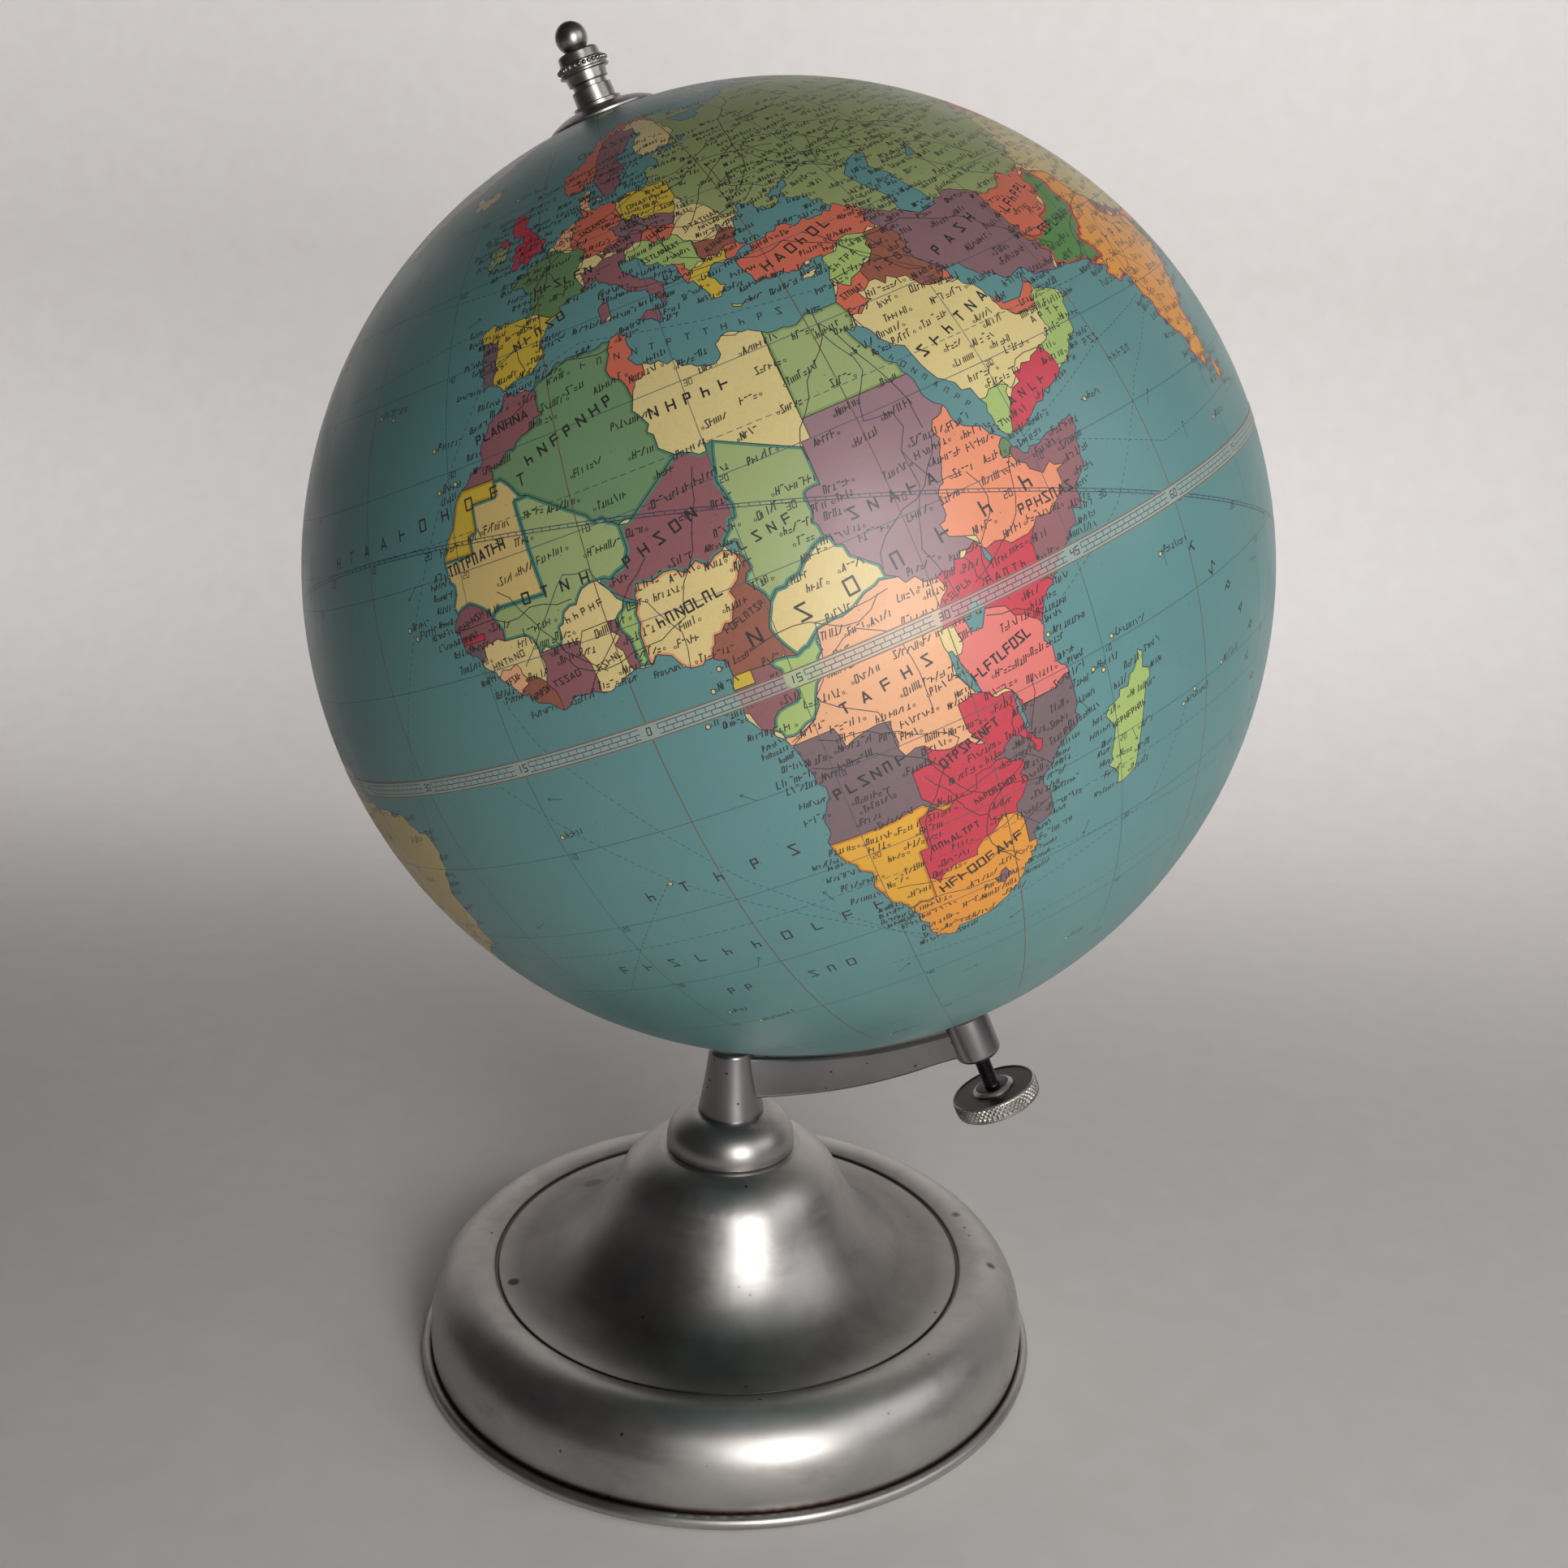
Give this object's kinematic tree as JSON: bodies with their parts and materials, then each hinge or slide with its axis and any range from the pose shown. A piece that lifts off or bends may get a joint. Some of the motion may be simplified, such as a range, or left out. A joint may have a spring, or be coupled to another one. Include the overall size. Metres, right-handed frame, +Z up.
{
  "type": "desktop globe",
  "caption": "Globe of printed paper gores on card shells, spinning on a tilted axle held by a one-sided cast arm on a spun metal foot, with a thumb screw brake below and a ball finial on top.",
  "frame": {"origin": "centre of the round foot's underside, on the table", "axes": "+Z up, +X along the arm from the column to the thumb screw; the north pole leans towards -X"},
  "size_m": [0.33, 0.3302, 0.4872],
  "materials": {
    "spun_aluminium": "spun, satin, worn",
    "cast_aluminium": "cast and brushed, satin",
    "plated_metal": "old nickel plate, dulled",
    "dark_steel": "blackened, bright where worn",
    "steel": "plain",
    "brass": "plain turned",
    "cast_iron": "rough cast",
    "felt": "wool felt",
    "fibreboard": "hard pressed board",
    "card": "moulded grey card",
    "hoop_wood": "bent beech",
    "map_paper": "printed and varnished",
    "tape_paper": "printed and varnished"
  },
  "bodies": {
    "stand": {"base_shell": "spun_aluminium", "rim_wire": "steel", "felt_disc": "felt", "closing_plate": "fibreboard", "plate_screws": "steel", "ballast_disc": "cast_iron", "tie_bolt": "steel", "spacer_tube": "steel", "neck_dome": "spun_aluminium", "arm_casting": "cast_aluminium", "boss_bush": "brass", "thrust_washer": "brass"},
    "globe": {"axle_rod": "steel", "south_shell": "card", "north_shell": "card", "equator_hoop": "hoop_wood", "gore_01": "map_paper", "gore_02": "map_paper", "gore_03": "map_paper", "gore_04": "map_paper", "gore_05": "map_paper", "gore_06": "map_paper", "gore_07": "map_paper", "gore_08": "map_paper", "gore_09": "map_paper", "gore_10": "map_paper", "gore_11": "map_paper", "gore_12": "map_paper", "south_cap": "map_paper", "north_cap": "map_paper", "equator_tape": "tape_paper", "south_bush": "steel", "north_bush": "steel", "polar_dish": "plated_metal", "finial_stem": "plated_metal", "beaded_ring": "plated_metal", "finial_knob": "plated_metal"},
    "brake": {"brake_plug": "brass"},
    "screw": {"thumb_screw": "dark_steel", "knob_hub": "steel", "knurled_knob": "dark_steel"}
  },
  "joints": [
    {"name": "globe_spin", "type": "hinge", "parent": "stand", "child": "globe", "pos_m": [0.0164, 0, 0.3074], "axis": [-0.3987, 0, 0.9171], "continuous": true},
    {"name": "brake_slide", "type": "slide", "parent": "stand", "child": "brake", "axis": [-0.3987, 0, 0.9171], "range_m": [-0.003, 0.003]},
    {"name": "screw_turn", "type": "hinge", "parent": "brake", "child": "screw", "pos_m": [0.0164, 0, 0.3074], "axis": [-0.3987, 0, 0.9171], "range_deg": [-1080, 1080]}
  ],
  "couplings": [
    {"joint": "brake_slide", "follows": "screw_turn", "m_per_rad": 0.00015915}
  ]
}
